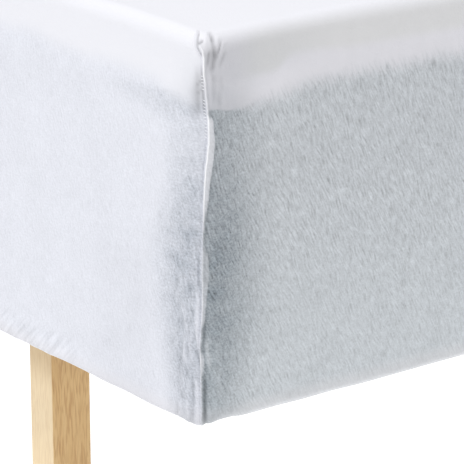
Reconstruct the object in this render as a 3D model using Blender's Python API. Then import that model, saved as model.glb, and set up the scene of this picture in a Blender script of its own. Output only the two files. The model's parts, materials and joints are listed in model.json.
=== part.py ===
"""Fitted sheet stretched over a single mattress base, its pad and its four beech legs.

Metres, +Z up. The origin lies on the floor under the middle of the bed, and +Y runs along it.

The sheet is one closed shell. Its outer face and its inner face are both lofted through rings that
follow the bed's rounded outline: from the flat sleeping face over the edge, down past the pad and
the base, and in under the base to the open hem. Every ring has the same stations. A station is a
distance along the outline from the middle of the nearest corner, so the corner seams, the puckers
and the pulled creases are written once, in a corner's own measures, and appear at all four.
"""
import math
from collections import namedtuple

import bmesh
import bpy
from mathutils import Vector

# Driving dimensions of the bed
BED_WIDTH = 0.900
BED_LENGTH = 2.000
LEG_HEIGHT = 0.200
BASE_HEIGHT = 0.286
PAD_HEIGHT = 0.049
PAD_INSET = 0.010             # how far the pad's sides stand in from the base's
CORNER_RADIUS = 0.017         # of the base's outline, seen from above
BASE_EDGE_RADIUS = 0.006
PAD_EDGE_RADIUS = 0.014
LEG_WIDTH = 0.046             # across the bed
LEG_DEPTH = 0.040             # along the bed
LEG_FROM_SIDE = 0.076         # from the base's long side to the leg
LEG_FROM_END = 0.350          # from the base's end to the leg
LEG_EDGE_RADIUS = 0.0015
CONTACT_GAP = 0.0003          # between pieces that rest on each other

# Driving dimensions of the sheet
CLOTH_THICKNESS = 0.002
EDGE_CLEARANCE = 0.0024       # between the cloth and the sides and underside of the base
PAD_STAND = -0.004            # outer face of the cloth beside the pad, from the base's side
TOP_ROLL = 0.014              # radius over the edge of the sleeping face
BOTTOM_ROLL = 0.007           # radius under the lower edge of the base
HEM_TURN_IN = 0.055           # how far the hem reaches in under the base
HEM_BAND = 0.014              # width of the folded hem
HEM_EXTRA = 0.001             # how much the folded hem is thicker than the cloth
GATHER_RISE = 0.0014          # of the hem's gathers under each corner, every other station
GATHER_REACH = 0.130          # how far from the corner the hem is gathered
FACE_OUTLINE_IN = 0.030       # from the roll in to the flat part of the sleeping face
CREASED_FACE_IN = 0.012       # from the roll in to the row that the pinched corner's creases reach
LEAST_RADIUS = 0.005          # of an outline that lies far inside the base's

# Heights above the floor that follow
BASE_TOP = LEG_HEIGHT + BASE_HEIGHT
PAD_TOP = BASE_TOP + CONTACT_GAP + PAD_HEIGHT
SHEET_TOP = PAD_TOP + CONTACT_GAP + CLOTH_THICKNESS
SHEET_BOTTOM = LEG_HEIGHT - EDGE_CLEARANCE - CLOTH_THICKNESS
BASE_STAND = EDGE_CLEARANCE + CLOTH_THICKNESS

# The section of the cloth where it slopes out from the pad to the base: height above the base's
# top, how far it stands outside the base's side, the angle of its normal above the horizontal, and
# whether the cloth's inner face has the row too
SlopeRow = namedtuple("SlopeRow", "above_base stand angle inner")
SLOPE = (
    SlopeRow(0.024, PAD_STAND, 0.0, True),
    SlopeRow(0.010, PAD_STAND + 0.003, 15.0, False),
    SlopeRow(-0.006, BASE_STAND, 5.0, True),
)

# The seam up each corner. At each drop below the sleeping face: how far it has drifted along the
# outline from the middle of the corner, towards the bed's end, and how far the folded seam
# allowance stands out.
SeamPoint = namedtuple("SeamPoint", "drop drift stand")
SEAM = (
    SeamPoint(0.000, -0.0030, 0.0008),
    SeamPoint(0.012, -0.0006, 0.0028),
    SeamPoint(0.034, 0.0014, 0.0032),
    SeamPoint(0.063, 0.0032, 0.0036),
    SeamPoint(0.086, 0.0046, 0.0042),
    SeamPoint(0.112, 0.0026, 0.0042),
    SeamPoint(0.150, 0.0010, 0.0034),
    SeamPoint(0.172, 0.0004, 0.0026),
    SeamPoint(0.206, 0.0014, 0.0028),
    SeamPoint(0.220, 0.0026, 0.0032),
    SeamPoint(0.248, -0.0010, 0.0040),
    SeamPoint(0.274, -0.0030, 0.0042),
    SeamPoint(0.302, -0.0004, 0.0026),
    SeamPoint(0.328, 0.0002, 0.0014),
    SeamPoint(0.344, 0.0002, 0.0006),
)
SEAM_RISE = 0.0065            # where the cloth starts to rise, on the long side of the seam
SEAM_CREST = 0.0005           # the stitched edge of the allowance
SEAM_ALLOWANCE = 0.0050       # the far edge of the allowance, which is folded towards the end
SEAM_FALL = 0.0085            # where the cloth is down again
ALLOWANCE_SHARE = 0.65        # height of the allowance's far edge as a share of the crest's
DRIFT_REACH = 0.030           # distance over which the cloth beside the seam follows its drift

# Creases around each corner. Each is a soft ridge (rise > 0) or trough (rise < 0) along a straight
# run from one (along, drop) to another. Along is the distance from the corner on the outline, above
# 0 on the bed's end and below 0 on its long side. Drop is the distance below the edge of the
# sleeping face, and below 0 it lies on that face.
Crease = namedtuple("Crease", "name along_0 drop_0 along_1 drop_1 half_width rise")
CREASES = (
    Crease("pinch puff", 0.004, -0.014, 0.007, 0.008, 0.0050, 0.0024),
    Crease("pinch ridge", -0.008, -0.012, 0.000, 0.012, 0.0032, 0.0014),
    Crease("fan near the seam", 0.007, -0.018, 0.013, 0.016, 0.0036, -0.0011),
    Crease("fan away from the seam", 0.026, -0.002, 0.014, 0.020, 0.0036, -0.0011),
    Crease("fan's foot", 0.013, 0.014, 0.014, 0.044, 0.0040, -0.0009),
    Crease("hollow beside the seam", -0.007, 0.026, -0.004, 0.054, 0.0050, -0.0009),
    Crease("loose pleat", -0.007, 0.222, -0.005, 0.280, 0.0042, 0.0020),
    Crease("crinkle 1", -0.012, 0.236, -0.017, 0.292, 0.0034, 0.0011),
    Crease("crinkle 2", -0.010, 0.282, -0.014, 0.336, 0.0034, 0.0010),
    Crease("crinkle 3", -0.022, 0.252, -0.025, 0.320, 0.0040, -0.0007),
    Crease("crinkle at the end", 0.012, 0.262, 0.017, 0.318, 0.0040, 0.0009),
    Crease("pull at the leg 1", -0.300, 0.342, -0.262, 0.300, 0.0090, 0.0012),
    Crease("pull at the leg 2", -0.272, 0.342, -0.226, 0.302, 0.0080, 0.0012),
    Crease("pull at the leg 3", -0.244, 0.342, -0.205, 0.304, 0.0080, 0.0010),
)
CREASE_FADE = 0.30            # share of a crease's length over which each end fades out
INNER_SHARE = 0.80            # share of a ridge that the cloth's inner face follows

# Stations of every ring, measured along the outline from the middle of a corner: on both sides of
# the corner, on the long side where the cloth is pulled at the leg, and on the end
SEAM_STATIONS = (
    -0.0095, -SEAM_RISE, -0.0040, -0.0018, SEAM_CREST, 0.0028, SEAM_ALLOWANCE, SEAM_FALL, 0.0112,
)
CORNER_STATIONS = (0.0140, 0.0175, 0.0215, 0.0260, 0.0320, 0.0420, 0.0600, 0.0850, 0.1200)
PULL_STATIONS = (0.165, 0.205, 0.220, 0.234, 0.248, 0.262, 0.276, 0.290, 0.305, 0.340)
END_STATIONS = (0.200, 0.320)
LONG_SIDE_STEPS = 3           # spans between the last stations of a long side's two corners
SIDE_ROWS = 13                # rows down the base's side
INNER_ROW_STEP = 3            # the inner face has every third of them
DRAW_TOGETHER = 0.20          # distance from the corner within which inset rings draw together

# The corners in order, anticlockwise seen from above: the direction in which each points, whether
# its end side is reached after the corner (1) or before it (-1), and whether the side that follows
# it is a long one
Corner = namedtuple("Corner", "angle hand long_side_next")
CORNERS = (
    Corner(45.0, 1, False),
    Corner(135.0, -1, True),
    Corner(225.0, 1, False),
    Corner(315.0, -1, True),
)
SLAB_CORNER_STEPS = 6         # spans around each corner of the pad and the base
SHARP_ANGLE = math.radians(40.0)

# A row of the sheet's section: how far its outer face stands outside the base's side, its height,
# its outward normal in the section, its drop along the cloth, and whether the inner face has it too
Row = namedtuple("Row", "stand height normal_out normal_up drop inner")


def remove_everything():
    for item in list(bpy.data.objects):
        bpy.data.objects.remove(item, do_unlink=True)


def make_material(name, colour, roughness, metallic=0.0):
    material = bpy.data.materials.new(name)
    material.use_nodes = True
    shader = material.node_tree.nodes["Principled BSDF"]
    shader.inputs["Base Color"].default_value = (*colour, 1.0)
    shader.inputs["Roughness"].default_value = roughness
    shader.inputs["Metallic"].default_value = metallic
    return material


def finish_object(name, bm, material):
    mesh = bpy.data.meshes.new(name)
    bm.to_mesh(mesh)
    bm.free()
    mesh.materials.append(material)
    mesh.shade_smooth()
    mesh.set_sharp_from_angle(angle=SHARP_ANGLE)
    item = bpy.data.objects.new(name, mesh)
    bpy.context.scene.collection.objects.link(item)
    return item


def smooth_step(value):
    value = min(max(value, 0.0), 1.0)
    return value * value * (3.0 - 2.0 * value)


# The outline of the bed

def outline_point(corner_angle, along, stand):
    """Point and outward direction on the outline that stands `stand` outside the base's side."""
    middle = math.radians(corner_angle)
    side_x = math.copysign(1.0, math.cos(middle))
    side_y = math.copysign(1.0, math.sin(middle))
    radius = max(LEAST_RADIUS, CORNER_RADIUS + stand)
    centre = Vector((
        side_x * (BED_WIDTH / 2 + stand - radius),
        side_y * (BED_LENGTH / 2 + stand - radius),
        0.0,
    ))
    half_arc = radius * math.pi / 4
    on_arc = min(max(along, -half_arc), half_arc)
    angle = middle + on_arc / radius
    outward = Vector((math.cos(angle), math.sin(angle), 0.0))
    tangent = Vector((-math.sin(angle), math.cos(angle), 0.0))
    return centre + radius * outward + (along - on_arc) * tangent, outward


def corner_stations():
    """Distances of one corner's stations, from its long side to its end."""
    long_side = [-along for along in reversed(CORNER_STATIONS + PULL_STATIONS)]
    return long_side + list(SEAM_STATIONS) + list(CORNER_STATIONS + END_STATIONS)


def sheet_stations():
    """(corner, along) of every station of a ring, anticlockwise seen from above."""
    stations = corner_stations()
    return [(corner, along) for corner in CORNERS for along in stations[::corner.hand]]


# The relief of the cloth

def seam_at(drop):
    """Drift and stand of the seam at a drop, eased between the table's points."""
    if drop <= SEAM[0].drop:
        return SEAM[0].drift, 0.0
    for upper, lower in zip(SEAM, SEAM[1:]):
        if drop <= lower.drop:
            share = smooth_step((drop - upper.drop) / (lower.drop - upper.drop))
            drift = upper.drift + share * (lower.drift - upper.drift)
            stand = upper.stand + share * (lower.stand - upper.stand)
            return drift, stand
    return SEAM[-1].drift, SEAM[-1].stand


def seam_relief(from_seam, stand):
    """Height of the seam allowance, folded to one side, at a distance from the seam."""
    if -SEAM_RISE < from_seam < SEAM_CREST:
        return stand * smooth_step((from_seam + SEAM_RISE) / (SEAM_CREST + SEAM_RISE))
    if SEAM_CREST <= from_seam < SEAM_ALLOWANCE:
        share = (from_seam - SEAM_CREST) / (SEAM_ALLOWANCE - SEAM_CREST)
        return stand * (1.0 - (1.0 - ALLOWANCE_SHARE) * share)
    if SEAM_ALLOWANCE <= from_seam < SEAM_FALL:
        share = (from_seam - SEAM_ALLOWANCE) / (SEAM_FALL - SEAM_ALLOWANCE)
        return stand * ALLOWANCE_SHARE * (1.0 - share)
    return 0.0


def crease_relief(along, drop, crease):
    run_along = crease.along_1 - crease.along_0
    run_drop = crease.drop_1 - crease.drop_0
    length = math.hypot(run_along, run_drop)
    share = ((along - crease.along_0) * run_along + (drop - crease.drop_0) * run_drop) / length**2
    if not 0.0 < share < 1.0:
        return 0.0
    aside = ((along - crease.along_0) * run_drop - (drop - crease.drop_0) * run_along) / length
    fade = smooth_step(share / CREASE_FADE) * smooth_step((1.0 - share) / CREASE_FADE)
    return crease.rise * fade * math.exp(-(aside / crease.half_width) ** 2)


def gather_relief(station):
    """Height of the hem's gathers: raised at every other station near the corner."""
    near = [along for along in corner_stations() if abs(along) < GATHER_REACH]
    return GATHER_RISE if station in near[::2] else 0.0


def relief_at(along, from_seam, row):
    stand = seam_at(row.drop)[1]
    creases = sum(crease_relief(along, row.drop, crease) for crease in CREASES)
    return seam_relief(from_seam, stand) + creases


# The section of the cloth

def section_rows():
    """Rows of the sheet's section, from the flat sleeping face to the edge of the hem."""
    rows = []

    def add(stand, height, angle, inner):
        """Angle of the normal: 90 degrees is up, 0 is outward, -90 is down."""
        drop = 0.0
        if rows:
            last = rows[-1]
            drop = last.drop + math.hypot(stand - last.stand, height - last.height)
        radians = math.radians(angle)
        rows.append(Row(stand, height, math.cos(radians), math.sin(radians), drop, inner))

    roll_stand = PAD_STAND - TOP_ROLL
    roll_height = SHEET_TOP - TOP_ROLL
    add(roll_stand - FACE_OUTLINE_IN, SHEET_TOP, 90.0, True)
    add(roll_stand - CREASED_FACE_IN, SHEET_TOP, 90.0, False)
    for angle, inner in ((90.0, True), (67.5, False), (45.0, True), (22.5, False), (0.0, True)):
        radians = math.radians(angle)
        add(roll_stand + TOP_ROLL * math.cos(radians), roll_height + TOP_ROLL * math.sin(radians),
            angle, inner)
    for slope in SLOPE:
        add(slope.stand, BASE_TOP + slope.above_base, slope.angle, slope.inner)

    side_foot = SHEET_BOTTOM + BOTTOM_ROLL
    side_head = BASE_TOP + SLOPE[-1].above_base
    for step in range(1, SIDE_ROWS + 1):
        height = side_head + (side_foot - side_head) * step / SIDE_ROWS
        add(BASE_STAND, height, 0.0, step % INNER_ROW_STEP == 0 or step == SIDE_ROWS)
    roll_in = BASE_STAND - BOTTOM_ROLL
    for angle, inner in ((-45.0, False), (-90.0, True)):
        radians = math.radians(angle)
        add(roll_in + BOTTOM_ROLL * math.cos(radians),
            side_foot + BOTTOM_ROLL * math.sin(radians), angle, inner)
    add(-HEM_TURN_IN + HEM_BAND, SHEET_BOTTOM, -90.0, False)
    add(-HEM_TURN_IN + HEM_BAND - HEM_EXTRA, SHEET_BOTTOM - HEM_EXTRA, -90.0, False)
    add(-HEM_TURN_IN, SHEET_BOTTOM - HEM_EXTRA, -90.0, True)

    # Drops are counted from the middle of the roll over the sleeping face's edge
    edge = next(row.drop for row in rows if math.isclose(row.normal_out, row.normal_up))
    return [row._replace(drop=row.drop - edge) for row in rows]


def along_on_row(along, row):
    """A station's distance on a row that lies in under the base or in on the sleeping face.

    Away from the corner the rows stay straight above each other, and near it they draw together.
    """
    inset = max(0.0, -row.stand)
    share = smooth_step(abs(along) / DRAW_TOGETHER)
    return math.copysign(abs(along) - inset * share, along)


def ring_points(row, inner):
    """Points of one row's ring on the outer or the inner face of the cloth."""
    stand = row.stand
    height = row.height
    if inner:
        thickness = CLOTH_THICKNESS
        if row.stand <= -HEM_TURN_IN:
            thickness += HEM_EXTRA
        stand -= thickness * row.normal_out
        height -= thickness * row.normal_up
    drift = seam_at(row.drop)[0]
    points = []
    for corner, station in sheet_stations():
        along = station + drift * math.exp(-(station / DRIFT_REACH) ** 2)
        on_row = corner.hand * along_on_row(along, row)
        point, outward = outline_point(corner.angle, on_row, stand)
        relief = relief_at(along, station, row)
        if inner:
            relief = INNER_SHARE * max(0.0, relief)
        if row.stand < -TOP_ROLL and row.normal_up < 0.0:
            relief = 0.0 if inner else gather_relief(station)
        point += relief * row.normal_out * outward
        point.z = height + relief * row.normal_up
        points.append((corner, point))
    return fill_long_sides(points)


def fill_long_sides(points):
    """The ring's points with evenly spaced ones added along the middle of the two long sides."""
    filled = []
    for (corner, point), (next_corner, next_point) in zip(points, points[1:] + points[:1]):
        filled.append(point)
        if corner != next_corner and corner.long_side_next:
            filled += [point.lerp(next_point, step / LONG_SIDE_STEPS)
                       for step in range(1, LONG_SIDE_STEPS)]
    return filled


def add_rings(bm, rings):
    """Joins rings of equal length one after another, and returns their vertices."""
    made = [[bm.verts.new(point) for point in ring] for ring in rings]
    for upper, lower in zip(made, made[1:]):
        for step in range(len(upper)):
            after = (step + 1) % len(upper)
            bm.faces.new((upper[step], lower[step], lower[after], upper[after]))
    return made


def make_sheet(material):
    rows = section_rows()
    outer = [ring_points(row, False) for row in rows]
    inner = [ring_points(row, True) for row in rows if row.inner]
    bm = bmesh.new()
    made = add_rings(bm, outer + inner[::-1])
    bm.faces.new(made[0])
    bm.faces.new(made[-1][::-1])
    return finish_object("fitted_sheet", bm, material)


# What the sheet is fitted over

def make_slab(name, stand, bottom, top, edge_radius, material):
    """A slab of the bed's outline with its upper and lower edges rounded."""
    rows = []
    for angle in (90.0, 45.0, 0.0):
        radians = math.radians(angle)
        rows.append((stand - edge_radius * (1.0 - math.cos(radians)),
                     top - edge_radius * (1.0 - math.sin(radians))))
    rows += [(out, bottom + top - height) for out, height in reversed(rows)]
    rings = []
    for out, height in rows:
        radius = max(LEAST_RADIUS, CORNER_RADIUS + out)
        half_arc = radius * math.pi / 4
        ring = []
        for corner in CORNERS:
            for step in range(SLAB_CORNER_STEPS + 1):
                along = half_arc * (2.0 * step / SLAB_CORNER_STEPS - 1.0)
                point = outline_point(corner.angle, along, out)[0]
                point.z = height
                ring.append(point)
        rings.append(ring)
    bm = bmesh.new()
    made = add_rings(bm, rings)
    bm.faces.new(made[0])
    bm.faces.new(made[-1][::-1])
    return finish_object(name, bm, material)


def make_leg(name, side_x, side_y, material):
    """A square leg with lightly eased edges, standing on the floor."""
    height = LEG_HEIGHT - CONTACT_GAP
    bm = bmesh.new()
    bmesh.ops.create_cube(bm, size=1.0)
    bmesh.ops.scale(bm, vec=(LEG_WIDTH, LEG_DEPTH, height), verts=bm.verts)
    leg = finish_object(name, bm, material)
    leg.location = (
        side_x * (BED_WIDTH / 2 - LEG_FROM_SIDE - LEG_WIDTH / 2),
        side_y * (BED_LENGTH / 2 - LEG_FROM_END - LEG_DEPTH / 2),
        height / 2,
    )
    ease = leg.modifiers.new("eased edges", "BEVEL")
    ease.width = LEG_EDGE_RADIUS
    ease.segments = 2
    return leg


def main():
    remove_everything()
    jersey = make_material("white jersey", (0.83, 0.85, 0.88), 0.85)
    wadding = make_material("white pad cover", (0.86, 0.86, 0.86), 0.90)
    cover = make_material("grey base cover", (0.42, 0.46, 0.50), 0.90)
    beech = make_material("beech", (0.78, 0.60, 0.38), 0.45)

    make_sheet(jersey)
    make_slab("mattress_pad", -PAD_INSET, BASE_TOP + CONTACT_GAP, PAD_TOP, PAD_EDGE_RADIUS, wadding)
    make_slab("mattress_base", 0.0, LEG_HEIGHT, BASE_TOP, BASE_EDGE_RADIUS, cover)
    for end, side_y in (("foot", -1), ("head", 1)):
        for hand, side_x in (("left", -1), ("right", 1)):
            make_leg(f"leg_{end}_{hand}", side_x, side_y, beech)


main()
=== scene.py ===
"""Looks of the fitted sheet: thin white jersey over a white pad and a grey-blue base on beech legs.

The sheet is lofted as one closed cloth, from the sleeping face over the edge, down the sides and in
under the base to its hem. A point of it is given by a station, which is a distance along the bed's
outline from the nearest corner seam (above 0 on the bed's end, below 0 on its long side), and by a
drop, which is a distance down the cloth from the middle of the roll over the sleeping face's edge.
"""

import json
import math
from collections import namedtuple

import bpy
import numpy as np
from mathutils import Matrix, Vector

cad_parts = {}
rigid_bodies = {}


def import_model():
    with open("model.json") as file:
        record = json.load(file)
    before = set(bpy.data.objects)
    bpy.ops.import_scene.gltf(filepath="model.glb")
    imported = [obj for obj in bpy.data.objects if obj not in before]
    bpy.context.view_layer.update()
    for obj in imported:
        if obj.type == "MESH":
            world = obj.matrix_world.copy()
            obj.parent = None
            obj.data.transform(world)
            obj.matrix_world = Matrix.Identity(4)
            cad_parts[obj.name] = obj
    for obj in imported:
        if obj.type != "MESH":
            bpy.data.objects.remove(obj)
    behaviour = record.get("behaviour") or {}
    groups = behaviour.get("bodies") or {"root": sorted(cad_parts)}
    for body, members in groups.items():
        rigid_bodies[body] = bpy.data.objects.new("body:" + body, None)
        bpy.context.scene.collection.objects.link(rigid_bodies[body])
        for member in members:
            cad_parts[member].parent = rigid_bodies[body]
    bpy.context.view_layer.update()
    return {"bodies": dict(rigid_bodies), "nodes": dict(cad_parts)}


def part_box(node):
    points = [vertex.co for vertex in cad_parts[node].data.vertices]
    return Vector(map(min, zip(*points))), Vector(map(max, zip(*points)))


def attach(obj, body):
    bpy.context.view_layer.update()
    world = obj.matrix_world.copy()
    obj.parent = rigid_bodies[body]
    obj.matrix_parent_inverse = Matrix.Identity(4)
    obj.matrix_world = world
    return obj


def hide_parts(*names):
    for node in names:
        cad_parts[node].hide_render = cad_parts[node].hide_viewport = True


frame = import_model()


def table(kind, *rows):
    """Plain rows as rows of a kind that names their columns."""
    return [kind(*row) for row in rows]


# Sizes that the frame gives
base_low, base_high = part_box("mattress_base")
pad_low, pad_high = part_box("mattress_pad")
HALF_WIDTH = base_high.x
HALF_LENGTH = base_high.y
BASE_BOTTOM = base_low.z
BASE_TOP = base_high.z
PAD_BOTTOM = pad_low.z
PAD_TOP = pad_high.z
PAD_INSET = base_high.x - pad_high.x
BODY = next(iter(frame["bodies"]))

# Sizes of the sheet
CONTACT_GAP = 0.0003
CORNER_RADIUS = 0.017  # of the base's outline, seen from above
CLOTH_THICKNESS = 0.002
EDGE_CLEARANCE = 0.0024  # between the cloth and the sides and underside of the base
PAD_STAND = -0.004  # outer face of the cloth beside the pad, from the base's side
BASE_STAND = EDGE_CLEARANCE + CLOTH_THICKNESS
TOP_ROLL = 0.014  # radius over the edge of the sleeping face
BOTTOM_ROLL = 0.007  # radius under the lower edge of the base
SHEET_TOP = PAD_TOP + CONTACT_GAP + CLOTH_THICKNESS
SHEET_BOTTOM = BASE_BOTTOM - EDGE_CLEARANCE - CLOTH_THICKNESS
SLOPE_FOOT = BASE_TOP - 0.006  # height at which the cloth, spanning from the pad, reaches the side
SLOPE_STRAIGHT = 0.6  # share of that span that is straight; the rest is eased at its ends
HEM_TURN_IN = 0.055  # how far the hem reaches in under the base
HEM_BAND = 0.014  # width of the folded hem
HEM_EXTRA = 0.001  # how much the folded hem is thicker than the cloth
LEAST_RADIUS = 0.005  # of an outline that lies far inside the base's
CROWN = 0.0065  # how far the tight sheet draws the sleeping face's corners down
CROWN_REACH = 0.080  # distance from a corner over which most of that is made up
CROWN_EASE = 1.4  # power that eases it at the corner itself
CROWN_FOOT = 0.120  # drop at which the sides no longer follow it

# Drops that follow
ROLL_HALF = TOP_ROLL * math.pi / 4
SIDE_HEAD = SHEET_TOP - TOP_ROLL
SIDE_FOOT = SHEET_BOTTOM + BOTTOM_ROLL
DROP_OF_FOOT = ROLL_HALF + SIDE_HEAD - SIDE_FOOT
DROP_OF_UNDERSIDE = DROP_OF_FOOT + BOTTOM_ROLL * math.pi / 2
DROP_OF_HEM_BAND = DROP_OF_UNDERSIDE + HEM_TURN_IN - HEM_BAND + BASE_STAND - BOTTOM_ROLL
DROP_OF_HEM = DROP_OF_HEM_BAND + HEM_BAND
DROP_OF_BASE_TOP = ROLL_HALF + SIDE_HEAD - BASE_TOP

# The corner seam at each drop: how far it has drifted along the outline towards the bed's end, how
# far its folded edge stands out, how wide its allowance lies over on the end's side, over what
# distance the cloth falls beyond it, and how plainly its white edge, with its painted highlight,
# shows
SeamPoint = namedtuple("SeamPoint", "drop drift stand flap fall edge")
SEAM = table(
    SeamPoint,
    (0.003, -0.0018, 0.0000, 0.0002, 0.0030, 0.0),
    (0.011, 0.0010, 0.0018, 0.0003, 0.0018, 0.8),
    (0.018, 0.0018, 0.0022, 0.0003, 0.0019, 1.0),
    (0.028, 0.0020, 0.0021, 0.0003, 0.0020, 1.0),
    (0.038, 0.0036, 0.0018, 0.0003, 0.0020, 0.35),
    (0.045, 0.0044, 0.0018, 0.0003, 0.0020, 0.25),
    (0.053, 0.0053, 0.0020, 0.0003, 0.0020, 0.40),
    (0.0605, 0.0058, 0.0024, 0.0003, 0.0018, 0.35),
    (0.0635, 0.0060, 0.0029, 0.0010, 0.0016, 0.8),
    (0.067, 0.0062, 0.0034, 0.0040, 0.0010, 1.0),
    (0.0755, 0.0063, 0.0036, 0.0043, 0.0010, 0.85),
    (0.083, 0.0064, 0.0036, 0.0051, 0.0009, 0.8),
    (0.099, 0.0052, 0.0036, 0.0054, 0.0009, 0.85),
    (0.110, 0.0039, 0.0036, 0.0050, 0.0009, 0.8),
    (0.126, 0.0031, 0.0034, 0.0037, 0.0010, 0.75),
    (0.135, 0.0027, 0.0032, 0.0034, 0.0010, 0.8),
    (0.142, 0.0025, 0.0030, 0.0022, 0.0012, 0.6),
    (0.149, 0.0025, 0.0027, 0.0008, 0.0018, 0.5),
    (0.158, 0.0022, 0.0024, 0.0004, 0.0020, 0.25),
    (0.166, 0.0018, 0.0024, 0.0004, 0.0022, 0.1),
    (0.176, 0.0016, 0.0024, 0.0008, 0.0024, 0.0),
    (0.187, 0.0014, 0.0028, 0.0036, 0.0026, 0.15),
    (0.200, 0.0012, 0.0030, 0.0045, 0.0024, 0.2),
    (0.213, 0.0014, 0.0030, 0.0036, 0.0020, 0.2),
    (0.2185, 0.0014, 0.0028, 0.0028, 0.0018, 0.25),
    (0.226, 0.0014, 0.0030, 0.0022, 0.0014, 0.35),
    (0.239, 0.0010, 0.0030, 0.0016, 0.0014, 0.3),
    (0.252, 0.0004, 0.0034, 0.0008, 0.0014, 0.1),
    (0.265, -0.0004, 0.0032, 0.0003, 0.0016, 0.1),
    (0.281, -0.0006, 0.0022, 0.0022, 0.0026, 0.5),
    (0.292, -0.0002, 0.0026, 0.0010, 0.0018, 0.2),
    (0.325, 0.0003, 0.0028, 0.0005, 0.0012, 0.1),
    (0.336, 0.0002, 0.0012, 0.0003, 0.0020, 0.0),
    (0.346, -0.0004, 0.0000, 0.0003, 0.0030, 0.0),
)
SEAM_RISE = 0.0012  # over what distance the cloth rises to the seam from the long side
SEAM_SHOULDER = 0.0070  # over what distance the cloth beside it is lifted a little as well
SHOULDER_SHARE = 0.25  # of the seam's height, at the foot of the rise
FLAP_SHARE = 0.70  # height of the allowance's far edge as a share of the crest's
DRIFT_REACH = 0.030  # distance over which the cloth beside the seam follows its drift
STITCH_GROOVE = 0.0006  # depth of the stitched line, on the long side of the crest
STITCH_STATION = -0.0016
GROOVE_HALF_WIDTH = 0.0006
EDGE_HALF_WIDTH = 0.00040  # of the bare white line along the folded edge, which carries a painted highlight
CREST_STATION = 0.0002  # of the rounded crest along that edge
CREST_HALF_WIDTH = 0.0008
CREST_RISE = 0.0004
FULL_STAND = 0.002  # a seam that stands out this far has all of its crest and layers
FLAP_START = -0.0002  # station from which its allowance counts as more layers
FLAP_FALL_SHARE = 0.4  # share of its fall over which it still does
LEAST_FLAP = 0.001  # a narrower allowance doesn't
FLAP_LAYERS = (0.50, 0.95)  # how far it does, with its white edge hidden and with it bare
FLAP_LAYERS_LOST = 0.22  # share of that which is gone at its far edge
CREST_LAYERS = (0.2, 1.0)  # the same of the crest

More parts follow.
